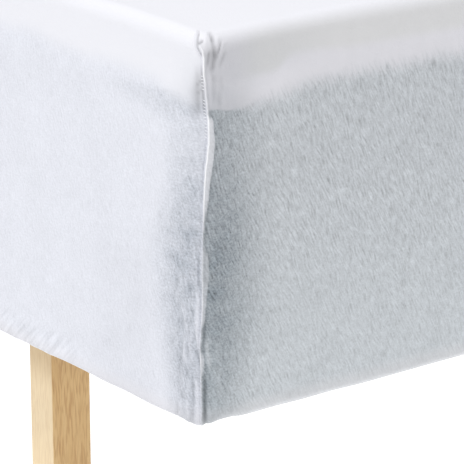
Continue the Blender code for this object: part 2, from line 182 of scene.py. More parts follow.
# Main creases of a corner, each a soft ridge (rise > 0) or trough (rise < 0) along a straight run
# from one (station, drop) to another
Crease = namedtuple("Crease", "name from_station from_drop to_station to_drop half_width rise")
CREASES = table(
    Crease,
    ("pinched lip, upper part", -0.0088, -0.0110, -0.0076, 0.0080, 0.0017, 0.0012),
    ("pinched lip, lower part", -0.0088, 0.0040, -0.0004, 0.0150, 0.0012, 0.0012),
    ("groove under the lip", -0.0054, -0.0120, -0.0040, 0.0110, 0.0013, -0.0015),
    ("groove's foot", -0.0050, 0.0060, 0.0008, 0.0150, 0.0009, -0.0016),
    ("tuck across the puff", -0.0046, 0.0044, 0.0022, 0.0000, 0.0013, -0.0018),
    ("puff at the dart's tip", 0.0014, -0.0120, 0.0034, 0.0140, 0.0022, 0.0010),
    ("puff beside the lip", -0.0016, -0.0110, -0.0010, 0.0000, 0.0015, 0.0004),
    ("tuck beside the puff", 0.0050, -0.0100, 0.0100, 0.0050, 0.0018, -0.0009),
    ("fan, arm near the seam", 0.0076, -0.0070, 0.0130, 0.0190, 0.0019, -0.0010),
    ("fan, arm away from the seam", 0.0196, 0.0010, 0.0120, 0.0220, 0.0013, -0.0010),
    ("fan, lit edge", 0.0226, 0.0020, 0.0160, 0.0180, 0.0014, 0.0009),
    ("fan, ridge between the arms", 0.0146, -0.0020, 0.0138, 0.0090, 0.0014, 0.0009),
    ("fan, short fold", 0.0062, 0.0080, 0.0052, 0.0240, 0.0012, -0.0009),
    ("fan, third arm", 0.0232, 0.0110, 0.0160, 0.0270, 0.0016, -0.0006),
    ("fan, bed", 0.0086, 0.0060, 0.0086, 0.0300, 0.0034, -0.0007),
    ("fan's foot", 0.0124, 0.0090, 0.0104, 0.0290, 0.0018, -0.0010),
    ("fan's root", 0.0112, 0.0260, 0.0110, 0.0560, 0.0030, -0.0005),
    ("soft ridge beside the seam", 0.0080, 0.0280, 0.0090, 0.0600, 0.0020, 0.0005),
    ("groove beside the seam", -0.0004, 0.0180, 0.0042, 0.0680, 0.0011, -0.0013),
    ("hollow beside the seam", -0.0034, 0.0180, -0.0014, 0.0680, 0.0036, -0.0011),
    ("wider hollow", -0.0070, 0.0280, -0.0060, 0.0720, 0.0046, -0.0005),
    ("soft fold in the band", 0.0240, 0.0418, 0.0780, 0.0418, 0.0024, 0.00015),
    ("small tuck on the stitches", -0.0060, 0.0390, 0.0010, 0.0330, 0.0010, -0.0008),
    ("small tuck below it", -0.0050, 0.0450, 0.0020, 0.0400, 0.0010, -0.0007),
    ("pleat beside the seam 1", 0.0002, 0.1740, 0.0000, 0.2160, 0.0009, 0.0008),
    ("groove of the small flap", 0.0035, 0.1740, 0.0033, 0.2200, 0.0008, -0.0008),
    ("groove beside the pleat", -0.0018, 0.1800, -0.0018, 0.2180, 0.0008, -0.0006),
    ("pleat beside the seam 2", -0.0038, 0.1840, -0.0040, 0.2200, 0.0009, 0.0008),
    ("loose fold", -0.0024, 0.2080, -0.0034, 0.2800, 0.0028, 0.0017),
    ("pinch, long side's branch", -0.0066, 0.2500, -0.0016, 0.2810, 0.0009, -0.0016),
    ("pinch, end's branch", 0.0030, 0.2360, 0.0016, 0.2660, 0.0010, -0.0010),
    ("pinch, stem", -0.0010, 0.2740, 0.0000, 0.2980, 0.0009, -0.0012),
    ("flat fold above the hem", -0.0032, 0.2860, -0.0030, 0.3480, 0.0030, 0.0014),
    ("fold across the pinch", 0.0030, 0.2560, 0.0080, 0.2900, 0.0020, 0.0015),
    ("shade beside the seam's foot", 0.0028, 0.2840, 0.0027, 0.3500, 0.0019, -0.0017),
    ("shadow beside it", -0.0082, 0.2880, -0.0078, 0.3440, 0.0016, -0.0008),
    ("crinkle 1", -0.0230, 0.2300, -0.0150, 0.2500, 0.0012, 0.0008),
    ("crinkle 2", -0.0150, 0.2380, -0.0190, 0.2920, 0.0020, 0.0008),
    ("crinkle 3", -0.0110, 0.2820, -0.0150, 0.3360, 0.0020, 0.0009),
    ("crinkle 4", -0.0240, 0.2520, -0.0270, 0.3200, 0.0030, -0.0006),
    ("crinkle 5", -0.0160, 0.3120, -0.0110, 0.3400, 0.0013, 0.0007),
    ("crinkle on the end", 0.0120, 0.2620, 0.0170, 0.3180, 0.0034, 0.0006),
    ("pull at the leg 1", -0.3000, 0.3420, -0.2620, 0.3000, 0.0090, 0.0012),
    ("pull at the leg 2", -0.2720, 0.3420, -0.2260, 0.3020, 0.0080, 0.0012),
    ("pull at the leg 3", -0.2440, 0.3420, -0.2050, 0.3040, 0.0080, 0.0010),
)
# Where the hem rises or hangs lower: the same shapes, but too broad to catch a shade
HEM_WAVES = table(
    Crease,
    ("lifted hem", 0.0215, 0.3300, 0.0225, 0.3520, 0.0115, -0.0030),
    ("corner's lower tip", -0.0080, 0.3280, -0.0060, 0.3540, 0.0120, 0.0014),
    ("slack hem", -0.0750, 0.3280, -0.0750, 0.3540, 0.0400, 0.0011),
    ("slack hem along the end", 0.2600, 0.3280, 0.2600, 0.3540, 0.1000, 0.0010),
)
CREASE_FADE = 0.30  # share of a crease's length over which each end fades out
FULL_FOLD = 0.0018  # depth of a trough that is wholly in painted shade, or height of such a ridge
DEEPEST = 0.0016  # no trough cuts deeper into the cloth
INNER_RELIEF = 0.4  # share of the ridges that the cloth's inner face follows

# Fine crinkles are drawn at random, their own ones at every corner: how many, the stations and
# drops of their upper ends, their length, how far they lean, their half width and their rise
Crinkles = namedtuple("Crinkles", "count stations drops lengths lean half_width rise")
CRINKLES = table(
    Crinkles,
    (36, (-0.030, -0.005), (0.205, 0.325), (0.010, 0.028), 0.50, (0.0009, 0.0015), 0.00075),
    (44, (-0.028, -0.004), (0.200, 0.330), (0.005, 0.013), 1.10, (0.0008, 0.0012), 0.00070),
    (14, (-0.022, -0.004), (0.060, 0.190), (0.008, 0.020), 0.25, (0.0009, 0.0016), 0.00022),
    (12, (0.007, 0.024), (0.020, 0.060), (0.008, 0.020), 0.35, (0.0010, 0.0018), 0.00030),
    (16, (0.006, 0.026), (0.160, 0.330), (0.010, 0.026), 0.30, (0.0012, 0.0022), 0.00025),
)
CRINKLE_SEED = 11

# Broad waves of the whole cloth, as a sum of sines
WAVE_COUNT = 16
WAVE_LENGTHS = (0.028, 0.110)
WAVE_RISE = 0.00010
WAVE_SEED = 5

# Gathers of the elastic in the hem
GATHER_RISE = 0.0016
GATHER_PITCH = 0.011
GATHER_REACH = 0.130  # distance over which the gathers fade out along the sides
GATHER_FULL = 0.6  # how far from a corner they are full, as a share of that
GATHER_REST = 0.20  # share of their height that is left along the sides
GATHER_SWAY = 1.3  # how far they are shifted to and fro, in radians of their own pitch
GATHER_SWAY_LENGTH = 5.3 * GATHER_PITCH
RELIEF_END = DROP_OF_UNDERSIDE + 0.004  # drop at which seam, creases and waves have faded out
RELIEF_FADE = 0.006
HEM_LAYERS = 0.8  # how far the folded hem counts as more layers

# Spacing of the cloth's stations and rows: each run goes on to `to` in equal steps
Run = namedtuple("Run", "to step")
NEAR_SEAM = (Run(0.0020, 0.0004), Run(0.0086, 0.00066))
LONG_SIDE_RUNS = NEAR_SEAM + (
    Run(0.030, 0.0010), Run(0.050, 0.0025), Run(0.110, 0.006), Run(0.340, 0.0064),
    Run(HALF_LENGTH, 0.060),
)
END_RUNS = NEAR_SEAM + (
    Run(0.0221, 0.0015), Run(0.050, 0.0025), Run(0.110, 0.006), Run(HALF_WIDTH, 0.034),
)
FACE_IN = 0.040  # the sleeping face's rows near the edge start this far in
FACE_FILL_DROP = -FACE_IN - 0.004  # where the rest of the face begins on the cloth's map
ROW_RUNS = (
    Run(-0.012, 0.0045), Run(0.030, 0.0014), Run(0.090, 0.0022), Run(0.200, 0.0050),
    Run(DROP_OF_FOOT, 0.0032), Run(DROP_OF_UNDERSIDE, 0.0019), Run(DROP_OF_HEM_BAND, 0.0090),
    Run(DROP_OF_HEM_BAND + 0.0010, 0.0010), Run(DROP_OF_HEM, 0.0065),
)
THINNED = slice(None, None, 4)  # hidden and flat rings keep every fourth station
INNER_ROW_DROPS = (
    -0.040, -ROLL_HALF, 0.0, ROLL_HALF, 0.024, 0.040, 0.058, 0.100, 0.160, 0.220, 0.280,
    DROP_OF_FOOT, DROP_OF_UNDERSIDE, DROP_OF_HEM,
)
DRAW_TOGETHER = 0.20  # distance from the corner within which inset rings draw together
SPINE_HALF = HALF_LENGTH - 0.38
FILL_SHARES = (0.06, 0.14, 0.24, 0.36, 0.52, 0.68, 0.84, 0.94)
SLAB_ROLL_ROWS = 7  # on each rounded edge of the pad and the base
SLAB_ROW_HEIGHT = 0.012
PAD_EDGE_RADIUS = 0.014
BASE_EDGE_RADIUS = 0.006

# The corners in order, anticlockwise seen from above: the direction in which each points, and
# whether its end side is reached after the corner (1) or before it (-1)
Corner = namedtuple("Corner", "angle hand")
CORNERS = (Corner(45.0, 1), Corner(135.0, -1), Corner(225.0, 1), Corner(315.0, -1))

# Stitches: the inputs of their node tree, how much of their thickness they are raised, and where
# they lie
THREAD_THICKNESS = 0.0006
SEAM_STITCHES = {"Pitch": 0.0027, "Length": 0.0046, "Thickness": 0.0008, "Lean": 0.15}
HEM_STITCHES = {"Pitch": 0.0034, "Length": 0.0026, "Thickness": THREAD_THICKNESS, "Lean": 0.12}
STITCH_SEED = 3
STITCH_SEGMENTS = 6
STITCH_RINGS = 5
PATH_STEP = 0.0012  # between the points of a path along a seam
SEAM_STITCH_STATION = -0.0018
SEAM_STITCH_TURN = 1.05  # angle between a stitch, which wraps the seam's edge, and the seam
SEAM_STITCH_LIFT = 0.15 * THREAD_THICKNESS
SEAM_STITCHED = ((0.030, 0.041), (0.050, 0.082))  # drops between which its stitches turn outwards
HEM_STITCH_LIFT = 0.2 * THREAD_THICKNESS
HEM_STITCH_FROM_EDGE = 0.0115

# Cut size of the sheet: its sides, its turned-in hem and the hem's own fold, less a square that is
# cut away at each corner
HEM_FOLD = 0.015
CUT_AWAY = DROP_OF_HEM - ROLL_HALF + HEM_FOLD
CUT_WIDTH = 2 * HALF_WIDTH + 2 * CUT_AWAY
CUT_LENGTH = 2 * HALF_LENGTH + 2 * CUT_AWAY

# The photograph's view
CAMERA_PLACE = (-1.6795, -2.6445, 0.9910)
CAMERA_DOWN = 16.787
CAMERA_AZIMUTH = -37.524
SENSOR_WIDTH = 36.0
LENS = 196.96
CAMERA_CLIP_END = 200.0


# Numbers

def smooth_step(value):
    value = np.clip(value, 0.0, 1.0)
    return value * value * (3.0 - 2.0 * value)


def bell(distance, half_width):
    """1 where the distance is 0, fading out to both sides."""
    return np.exp(-(distance / half_width) ** 2)


def steps(start, runs):
    """Values from `start` through every run, evenly stepped within each."""
    values = [start]
    for run in runs:
        count = max(1, round((run.to - values[-1]) / run.step))
        values += list(np.linspace(values[-1], run.to, count + 1)[1:])
    return values


# The section of the cloth and the outline of the bed

def section_at(drop):
    """Stand outside the base's side, height, and the two parts of the normal, at some drops."""
    drop = np.asarray(drop, float)
    roll_stand = PAD_STAND - TOP_ROLL
    top_angle = math.pi / 4 - np.clip(drop, -ROLL_HALF, ROLL_HALF) / TOP_ROLL
    height = SIDE_HEAD - np.clip(drop - ROLL_HALF, 0.0, SIDE_HEAD - SIDE_FOOT)
    span = SIDE_HEAD - SLOPE_FOOT
    run_out = BASE_STAND - PAD_STAND
    share = np.clip((SIDE_HEAD - height) / span, 0.0, 1.0)
    eased = 1.0 - SLOPE_STRAIGHT
    steepness = run_out / span * (SLOPE_STRAIGHT + eased * 6.0 * share * (1.0 - share))
    steepness = np.where(height > SLOPE_FOOT, steepness, 0.0)
    stand = PAD_STAND + run_out * (SLOPE_STRAIGHT * share + eased * smooth_step(share))
    length = np.hypot(1.0, steepness)
    normal_out, normal_up = 1.0 / length, steepness / length

    bottom_angle = -np.clip(drop - DROP_OF_FOOT, 0.0, BOTTOM_ROLL * math.pi / 2) / BOTTOM_ROLL
    roll_in = BASE_STAND - BOTTOM_ROLL
    inward = np.clip(drop - DROP_OF_UNDERSIDE, 0.0, None)
    band = np.where(drop > DROP_OF_HEM_BAND, HEM_EXTRA, 0.0)
    above = drop < ROLL_HALF
    below = drop > DROP_OF_FOOT
    stand = np.where(above, roll_stand + TOP_ROLL * np.cos(top_angle)
                     + np.minimum(drop + ROLL_HALF, 0.0), stand)
    height = np.where(above, SIDE_HEAD + TOP_ROLL * np.sin(top_angle), height)
    stand = np.where(below, roll_in + BOTTOM_ROLL * np.cos(bottom_angle) - inward, stand)
    height = np.where(below, SIDE_FOOT + BOTTOM_ROLL * np.sin(bottom_angle) - band, height)
    normal_out = np.where(below, np.cos(bottom_angle), normal_out)
    normal_out = np.where(above, np.cos(top_angle), normal_out)
    normal_up = np.where(below, np.sin(bottom_angle), normal_up)
    normal_up = np.where(above, np.sin(top_angle), normal_up)
    return stand, height, normal_out, normal_up


def outline_points(corner_angle, along, stand):
    """Points and outward directions, in plan, on outlines that stand outside the base's side."""
    middle = np.radians(corner_angle)
    side_x = np.sign(np.cos(middle))
    side_y = np.sign(np.sin(middle))
    radius = np.maximum(LEAST_RADIUS, CORNER_RADIUS + stand)
    half_arc = radius * math.pi / 4
    on_arc = np.clip(along, -half_arc, half_arc)
    angle = middle + on_arc / radius
    outward = np.cos(angle), np.sin(angle)
    past = along - on_arc
    x = side_x * (HALF_WIDTH + stand - radius) + radius * outward[0] - past * outward[1]
    y = side_y * (HALF_LENGTH + stand - radius) + radius * outward[1] + past * outward[0]
    return x, y, outward


def distances_round(x, y):
    """Distance round a closed line of points to each of them, and its whole length."""
    gaps = np.hypot(np.roll(x, -1) - x, np.roll(y, -1) - y)
    return np.concatenate([[0.0], np.cumsum(gaps)[:-1]]), gaps.sum()


def crown_at(x, y):
    """How much higher the sleeping face lies, at a place in plan, than at its corners."""
    from_corner = np.hypot(HALF_WIDTH - np.abs(x), HALF_LENGTH - np.abs(y))
    return CROWN * (1.0 - np.exp(-((from_corner / CROWN_REACH) ** CROWN_EASE)))


def ring_stations():
    """Station, corner number, corner angle and hand of each place round the bed, from a seam on."""
    long_side = [-value for value in steps(0.0, LONG_SIDE_RUNS)[1:-1]]
    end_side = steps(0.0, END_RUNS)[1:-1]
    places = []
    for number, corner in enumerate(CORNERS):
        before, after, middle = long_side, end_side, HALF_WIDTH
        if corner.hand < 0:
            before, after, middle = end_side, long_side, -HALF_LENGTH
        places += [(value, number) for value in [*before[::-1], 0.0, *after, middle]]
    first_seam = len(long_side)
    station, number = np.array(places[first_seam:] + places[:first_seam]).T
    number = number.astype(int)
    angle = np.array([corner.angle for corner in CORNERS])[number]
    hand = np.array([corner.hand for corner in CORNERS])[number]
    return station, number, angle, hand


# The relief of the cloth

def seam_at(drop):
    """The seam's columns at an array of drops, eased between the table's points."""
    points = np.array(SEAM)
    drops = points[:, 0]
    index = np.clip(np.searchsorted(drops, drop) - 1, 0, len(SEAM) - 2)
    low, high = points[index, 1:], points[index + 1, 1:]
    share = smooth_step((drop - drops[index]) / (drops[index + 1] - drops[index]))[..., None]
    return np.moveaxis(low + share * (high - low), -1, 0)


def seam_relief(station, seam):
    """Height of the folded seam, how far more layers lie there, and how bare its white edge is,
    with its painted highlight.
    """
    _, stand, flap, fall, edge = seam
    rise = smooth_step((station + SEAM_RISE) / SEAM_RISE)
    shoulder = SHOULDER_SHARE * smooth_step((station + SEAM_SHOULDER) / SEAM_SHOULDER)
    rise = shoulder + (1.0 - shoulder) * rise
    over = np.clip(station / flap, 0.0, 1.0)
    down = np.clip((station - flap) / fall, 0.0, 1.0)
    height = stand * rise * (1.0 - (1.0 - FLAP_SHARE) * over) * (1.0 - down)
    shown = smooth_step(stand / FULL_STAND)
    groove = edge * bell(station - STITCH_STATION, GROOVE_HALF_WIDTH)
    crest = bell(station - CREST_STATION, CREST_HALF_WIDTH)
    line = edge * bell(station, EDGE_HALF_WIDTH)
    height += shown * (CREST_RISE * crest - STITCH_GROOVE * groove)
    on_flap = (station > FLAP_START) & (station < flap + FLAP_FALL_SHARE * fall)
    flap_layers = np.interp(edge, (0.0, 1.0), FLAP_LAYERS) * (on_flap & (flap > LEAST_FLAP))
    flap_layers = flap_layers * (1.0 - FLAP_LAYERS_LOST * over)
    layers = np.maximum(np.interp(edge, (0.0, 1.0), CREST_LAYERS) * crest, flap_layers)
    return height, layers * shown, line * shown


def crease_relief(station, drop, crease):
    """Height of one crease over the cloth."""
    run_along = crease.to_station - crease.from_station
    run_down = crease.to_drop - crease.from_drop
    length = math.hypot(run_along, run_down)
    along = station - crease.from_station
    down = drop - crease.from_drop
    share = (along * run_along + down * run_down) / length**2
    aside = (along * run_down - down * run_along) / length
    fade = smooth_step(share / CREASE_FADE) * smooth_step((1.0 - share) / CREASE_FADE)
    return crease.rise * fade * bell(aside, crease.half_width)


def fine_crinkles(generator):
    """One corner's own fine crinkles, as creases."""
    found = []
    for group in CRINKLES:
        for _ in range(group.count):
            station = generator.uniform(*group.stations)
            drop = generator.uniform(*group.drops)
            length = generator.uniform(*group.lengths)
            lean = generator.uniform(-group.lean, group.lean)
            half_width = generator.uniform(*group.half_width)
            rise = group.rise * generator.uniform(0.5, 1.0) * generator.choice((-1.0, 1.0))
            found.append(Crease("fine crinkle", station, drop, station + lean * length,
                                drop + length, half_width, rise))
    return found


def wave_relief(around, drop, perimeter):
    """Broad, shallow waves over the whole cloth, which close round the bed."""
    generator = np.random.default_rng(WAVE_SEED)
    height = np.zeros(np.broadcast(around, drop).shape)
    for _ in range(WAVE_COUNT):
        wave_length = generator.uniform(*WAVE_LENGTHS)
        heading = generator.uniform(0.0, math.pi)
        phase = generator.uniform(0.0, 2.0 * math.pi)
        turns = round(perimeter * math.cos(heading) / wave_length)
        height += np.sin(2.0 * math.pi * (turns * around / perimeter
                                          + drop * math.sin(heading) / wave_length) + phase)
    return WAVE_RISE * height


def gather_relief(around, station, drop):
    """Gathers of the hem, which grow from the edge of the underside to the hem."""
    grown = smooth_step((drop - DROP_OF_FOOT) / (DROP_OF_HEM_BAND - DROP_OF_FOOT))
    near = smooth_step(1.0 + GATHER_FULL - np.abs(station) / GATHER_REACH)
    near = GATHER_REST + (1.0 - GATHER_REST) * near
    sway = GATHER_SWAY * np.sin(2.0 * math.pi * around / GATHER_SWAY_LENGTH)
    gathers = 0.5 + 0.5 * np.sin(2.0 * math.pi * around / GATHER_PITCH + sway)
    return GATHER_RISE * grown * near * gathers


def along_on_row(station, stand):
    """A station's distance from the corner on a row that lies far inside the base's outline."""
    inset = np.maximum(0.0, -stand)
    share = smooth_step(np.abs(station) / DRAW_TOGETHER)
    return np.sign(station) * (np.abs(station) - inset * share)


class Cloth:
    """The sheet's face as a function of station and drop."""

    def __init__(self):
        self.station, self.number, self.angle, self.hand = ring_stations()
        x, y, _ = outline_points(self.angle, self.hand * self.station, BASE_STAND)
        self.around, self.perimeter = distances_round(x, y)
        generator = np.random.default_rng(CRINKLE_SEED)
        self.crinkles = [fine_crinkles(generator) for _ in CORNERS]

    def face(self, drop, pick=slice(None), relief_share=1.0, inward=0.0):
        """Points, normals and columns, for some drops and the picked stations.

        `inward` is how far the face lies inside the cloth's outer one.
        """
        drop = np.asarray(drop, float)[:, None]
        station = self.station[pick][None, :]
        stand, height, normal_out, normal_up = section_at(drop)
        seam = seam_at(drop)
        along = station + seam[0] * bell(station, DRIFT_REACH)
        relief, layers, edge = seam_relief(station, seam)
        creased = sum(crease_relief(along, drop, crease) for crease in CREASES)
        for number, crinkles in enumerate(self.crinkles):
            here = self.number[pick] == number
            for crease in crinkles:
                creased[:, here] += crease_relief(along[:, here], drop, crease)
        fold = np.clip(creased / FULL_FOLD, -1.0, 1.0) * (1.0 - layers)
        relief += creased + sum(crease_relief(along, drop, wave) for wave in HEM_WAVES)
        on_edge = smooth_step((drop + FACE_IN) / FACE_IN)
        relief += on_edge * wave_relief(self.around[pick][None, :], drop, self.perimeter)
        relief *= smooth_step((RELIEF_END - drop) / RELIEF_FADE)
        relief += gather_relief(self.around[pick][None, :], station, drop)
        relief = np.where(relief < 0.0, DEEPEST * np.tanh(relief / DEEPEST), relief)
        if relief_share < 1.0:
            relief = relief_share * np.maximum(relief, 0.0)
        layers = np.maximum(layers, HEM_LAYERS * (drop > DROP_OF_HEM_BAND))

        on_row = self.hand[pick] * along_on_row(along, stand)
        x, y, outward = outline_points(self.angle[pick][None, :], on_row,
                                       stand - inward * normal_out)
        normals = np.stack([normal_out * outward[0], normal_out * outward[1],
                            normal_up + 0.0 * outward[0]], axis=-1)
        height = height + crown_at(x, y) * (1.0 - smooth_step(drop / CROWN_FOOT))
        flat = np.stack([x, y, height - inward * normal_up], axis=-1)
        columns = {"layers": layers, "edge": edge, "fold": fold}
        return flat + relief[..., None] * normals, normals, columns


# Meshes

def place_in_scene(name, data):
    placed = bpy.data.objects.new(name, data)
    bpy.context.scene.collection.objects.link(placed)
    return placed


class Shell:
    """Points and faces of a closed cloth or slab, gathered ring by ring."""

    def __init__(self):
        self.points, self.faces, self.columns = [], [], []
        self.count = 0

    def ring(self, points, **columns):
        """Adds a ring of points with their columns of values, and returns their indexes."""
        first = self.count
        self.points.append(np.asarray(points))
        self.columns.append({name: np.broadcast_to(value, len(points))
                             for name, value in columns.items()})
        self.count += len(points)
        return range(first, self.count)

    def join(self, upper, lower):
        """Faces between two rings, seen from outside with the upper ring above.

        The lower ring may hold fewer points, a whole number of times.
        """
        ratio = len(upper) // len(lower)
        if ratio == 1:
            for at, after in zip(range(len(upper)), [*range(1, len(upper)), 0]):
                self.faces.append((upper[at], lower[at], lower[after], upper[after]))
            return
        for at in range(len(lower)):
            after = (at + 1) % len(lower)
            fine = [upper[(at * ratio + step) % len(upper)] for step in range(ratio + 1)]
            half = ratio // 2
            for step in range(half):
                self.faces.append((fine[step], lower[at], fine[step + 1]))
            self.faces.append((fine[half], lower[at], lower[after]))
            for step in range(half, ratio):
                self.faces.append((fine[step], lower[after], fine[step + 1]))

    def join_up(self, lower, upper):
        """The same with the finer ring below."""
        before = len(self.faces)
        self.join(lower, upper)
        self.faces[before:] = [face[::-1] for face in self.faces[before:]]

    def finish(self, name, material):
        """Makes the piece, with its columns as the cloth's map and as attributes."""
        points = np.concatenate(self.points)
        mesh = bpy.data.meshes.new(name)
        mesh.from_pydata(points.tolist(), [], self.faces)
        columns = {key: np.concatenate([column[key] for column in self.columns])
                   for key in self.columns[0]}
        self.add_cloth_map(mesh, columns.pop("around"), columns.pop("drop"))
        for key, values in columns.items():
            attribute = mesh.attributes.new(key, "FLOAT", "POINT")
            attribute.data.foreach_set("value", values.astype(np.float32))
        mesh.materials.append(material)
        mesh.shade_smooth()
        mesh.update()
        return place_in_scene(name, mesh)

    def add_cloth_map(self, mesh, around, drop):
        """The UV map, in metres: distance round the bed, and drop."""
        corners = np.zeros(len(mesh.loops), int)
        mesh.loops.foreach_get("vertex_index", corners)
        starts = np.zeros(len(mesh.polygons), int)
        mesh.polygons.foreach_get("loop_start", starts)
        sizes = np.diff(np.append(starts, len(corners)))
        place = around[corners]
        highest = np.repeat(np.maximum.reduceat(place, starts), sizes)
        whole = around.max()
        place = np.where(highest - place > whole / 2, place + whole, place)
        cloth_map = mesh.uv_layers.new(name="cloth")
        cloth_map.data.foreach_set("uv", np.stack([place, drop[corners]], axis=-1).ravel())


def fill_inwards(shell, ring, edge, columns, crowned, facing_up=True):
    """Rings from an edge in to the bed's middle line, and a narrow face along it."""
    first_face = len(shell.faces)
    spine = np.stack([0.0 * edge[:, 0], np.clip(edge[:, 1], -SPINE_HALF, SPINE_HALF)], axis=-1)
    drop = columns["drop"]
    for share in FILL_SHARES:
        points = edge.copy()
        points[:, :2] += share * (spine - edge[:, :2])
        if crowned:
            points[:, 2] += crown_at(*points[:, :2].T) - crown_at(*edge[:, :2].T)
        inner = shell.ring(points, **{**columns, "drop": drop - share * HALF_WIDTH})
        shell.join_up(ring, inner)
        ring = inner
    shell.faces.append(tuple(ring))
    if not facing_up:
        shell.faces[first_face:] = [face[::-1] for face in shell.faces[first_face:]]


def make_sheet_cloth(cloth, material):
    """The whole sheet as one closed mesh."""
    shell = Shell()
    station, around = cloth.station, cloth.around
    row_drops = steps(-FACE_IN, ROW_RUNS)
    points, _, columns = cloth.face(row_drops)
    outer = [shell.ring(points[row], around=around, drop=drop, station=station,
                        **{name: values[row] for name, values in columns.items()})
             for row, drop in enumerate(row_drops)]
    for upper, lower in zip(outer, outer[1:]):
        shell.join(upper, lower)

    columns = {"around": around[THINNED], "drop": FACE_FILL_DROP, "station": station[THINNED],
               "layers": 0.0, "edge": 0.0, "fold": 0.0}
    fill_inwards(shell, outer[0], points[0][THINNED], columns, crowned=True)

    inner = []
    for drop in INNER_ROW_DROPS[::-1]:
        inward = CLOTH_THICKNESS + (HEM_EXTRA if drop >= DROP_OF_HEM else 0.0)
        row = cloth.face([drop], THINNED, relief_share=INNER_RELIEF, inward=inward)[0]
        inner.append(shell.ring(row[0], **{**columns, "drop": drop}))
    shell.join(outer[-1], inner[0])
    for lower, upper in zip(inner, inner[1:]):
        shell.join(lower, upper)
    fill_inwards(shell, inner[-1], row[0], columns, crowned=True, facing_up=False)
    return shell.finish("sheet_cloth", material)


def make_slab(name, stand, bottom, top, edge_radius, material, crowned=False):
    """A soft slab of the bed's outline with rounded edges. A crowned one's corners are lower."""
    shell = Shell()
    station, _, angle, hand = (values[THINNED] for values in ring_stations())
    x, y, _ = outline_points(angle, hand * station, stand)
    around, _ = distances_round(x, y)
    rows = []
    for turn in np.radians(np.linspace(90.0, 0.0, SLAB_ROLL_ROWS)):
        rows.append((stand - edge_radius * (1.0 - math.cos(turn)),
                     top - edge_radius * (1.0 - math.sin(turn))))
    lower_roll = [(out, bottom + top - height) for out, height in rows[::-1]]
    upper_height, lower_height = top - edge_radius, bottom + edge_radius
    count = max(2, round((upper_height - lower_height) / SLAB_ROW_HEIGHT))
    rows += [(stand, height) for height in np.linspace(upper_height, lower_height, count + 1)[1:-1]]
    rows += lower_roll
    rings = []
    for out, height in rows:
        x, y, _ = outline_points(angle, hand * along_on_row(station, out), out)
        pressed = crown_at(x, y) * (height - bottom) / (top - bottom) if crowned else 0.0
        points = np.stack([x, y, height + pressed + 0.0 * x], axis=-1)
        ring = shell.ring(points, around=around, drop=top - height, station=station)
        rings.append((ring, points))
    for (upper, _), (lower, _) in zip(rings, rings[1:]):
        shell.join(upper, lower)
    columns = {"around": around, "drop": 0.0, "station": station}
    fill_inwards(shell, *rings[0], columns, crowned)
    fill_inwards(shell, *rings[-1], columns, crowned=False, facing_up=False)
    return shell.finish(name, material)


# Nodes

class Value:
    """A number, vector or colour on its way through a node tree. Arithmetic adds Math nodes."""

    def __init__(self, nodes, socket):
        self.nodes, self.socket = nodes, socket

    def math(self, operation, *values):
        return self.nodes.node("ShaderNodeMath", {"operation": operation}, dict(enumerate(values)))

    def __add__(self, other):
        return self.math("ADD", self, other)

    def __sub__(self, other):
        return self.math("SUBTRACT", self, other)

    def __rsub__(self, other):
        return self.math("SUBTRACT", other, self)

    def __mul__(self, other):
        return self.math("MULTIPLY", self, other)

    def __abs__(self):
        return self.math("ABSOLUTE", self)

    __radd__ = __add__
    __rmul__ = __mul__

    def at_least(self, other):
        return self.math("MAXIMUM", self, other)

    def between(self, low, high):
        """0 below `low`, 1 above `high` and smooth from one to the other."""
        return self.nodes.node("ShaderNodeMapRange", {"interpolation_type": "SMOOTHSTEP"},
                               {"Value": self, "From Min": low, "From Max": high})

    def fade(self, into):
        """What has come in of a Fade at this value."""
        return into.share * self.between(into.start, into.stop)

    def other(self, output):
        """Another output of the same node."""
        return Value(self.nodes, self.socket.node.outputs[output])


class Nodes:
    """A node tree, whose nodes are all made by one method."""

    def __init__(self, tree):
        self.tree = tree

    def node(self, kind, settings, values, output=0):
        made = self.tree.nodes.new(kind)
        for key, value in settings.items():
            if key == "stops":
                self.set_stops(made.color_ramp.elements, value)
            else:
                setattr(made, key, value)
        for key, value in values.items():
            self.feed(made.inputs[key], value)
        return Value(self, made.outputs[output]) if len(made.outputs) else None

    def set_stops(self, elements, stops):
        for _ in stops[2:]:
            elements.new(0.5)
        for element, (position, _) in zip(elements, stops):
            element.position = position
        for element, (_, colour) in zip(elements, stops):
            element.color = (*colour, 1.0)

    def feed(self, socket, value):
        if isinstance(value, Value):
            self.tree.links.new(value.socket, socket)
        elif socket.type == "RGBA":
            socket.default_value = (*value, 1.0)
        else:
            socket.default_value = value


# Stitches, laid along paths by Geometry Nodes

def join_paths(name, paths):
    """One object of several paths, each of points, outward directions and its stitches' turn."""
    points = np.concatenate([path[0] for path in paths])
    outward = np.concatenate([path[1] for path in paths])
    turn = np.concatenate([np.full(len(path[0]), path[2]) for path in paths])
    edges, first = [], 0
    for path in paths:
        last = first + len(path[0]) - 1
        edges += [(at, at + 1) for at in range(first, last)]
        first = last + 1
    mesh = bpy.data.meshes.new(name)
    mesh.from_pydata(points.tolist(), edges, [])
    mesh.attributes.new("outward", "FLOAT_VECTOR", "POINT").data.foreach_set(
        "vector", outward.astype(np.float32).ravel())
    mesh.attributes.new("turn", "FLOAT", "POINT").data.foreach_set("value", turn.astype(np.float32))
    return place_in_scene(name, mesh)


